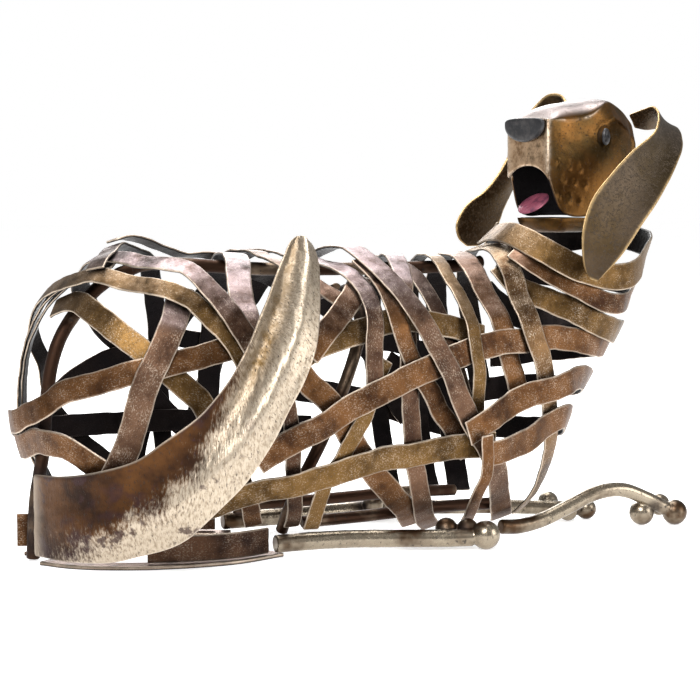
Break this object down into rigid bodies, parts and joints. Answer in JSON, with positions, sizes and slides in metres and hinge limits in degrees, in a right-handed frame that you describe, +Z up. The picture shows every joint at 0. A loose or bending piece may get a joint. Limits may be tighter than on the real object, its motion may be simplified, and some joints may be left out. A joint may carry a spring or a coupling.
{
  "type": "dog sculpture",
  "caption": "Hound lying down with its head turned back, woven from welded steel straps over bars, with a sheet-metal tail, open jaw and long hanging ears.",
  "frame": {"origin": "middle of the footprint's bounding box, on the floor the hound lies on", "axes": "+X from the rump to the chest, +Y the hound's left, +Z up; the head looks back towards -X and a little to the hound's right"},
  "size_m": [0.2826, 0.1312, 0.182],
  "materials": {
    "strap": "heat-browned steel strap with worn bright edges",
    "strap_rump": "brown to violet-grey heat patina, lightly brushed",
    "bar": "round bar, browned, with weld spatter",
    "leg": "polished bar and balls with dark welds",
    "tail": "cross-brushed silver over copper-brown patina",
    "head": "olive-gold to orange-brown heat patina",
    "ear": "speckled olive-bronze with a bright rim",
    "black": "black enamel on steel",
    "tongue": "rose-pink enamel on steel"
  },
  "bodies": {
    "root": {"rear_hoop_inner": "strap", "rear_hoop_outer": "strap", "rump_band_low": "strap_rump", "rump_band_slant": "strap_rump", "rump_band_middle": "strap_rump", "back_strap_rear": "strap", "rump_strap_steep": "strap_rump", "rump_band_high": "strap_rump", "rump_band_top": "strap_rump", "far_rump_arch": "strap", "far_top_band": "strap", "flank_stub_low": "strap", "flank_stub_upright": "strap", "flank_brace_forward": "strap", "flank_brace_back": "strap", "far_flank_band_upper": "strap", "shoulder_stub": "strap", "shoulder_hoop_rear": "strap", "back_patch_under": "strap", "flank_band_upper": "strap", "back_patch_over": "strap", "back_strap_diagonal": "strap", "shoulder_brace": "strap", "chest_hoop_rear": "strap", "belly_band_upper": "strap", "neck_band_lower": "strap", "chest_hoop_front": "strap", "shoulder_hoop_front": "strap", "belly_band_lower": "strap", "long_diagonal": "strap", "chest_band_middle": "strap", "chest_band_lower": "strap", "neck_band_middle": "strap", "neck_collar": "strap", "chest_brace_low": "strap", "spine_bar": "bar", "thigh_bar_right": "bar", "thigh_bar_left": "bar", "sill_bar_right": "bar", "sill_bar_left": "bar", "hind_leg_right": "leg", "hind_leg_left": "leg", "front_leg_right": "leg", "front_leg_left": "leg", "base_strap_right": "bar", "base_strap_left": "bar", "base_sill_right": "strap", "base_sill_left": "strap", "rear_tab": "bar", "tail": "tail", "skull": "head", "muzzle_plate": "head", "nose": "black", "jaw": "head", "tongue": "tongue", "eye_right": "black", "eye_left": "black", "ear_left": "ear", "ear_right": "ear"}
  },
  "joints": []
}
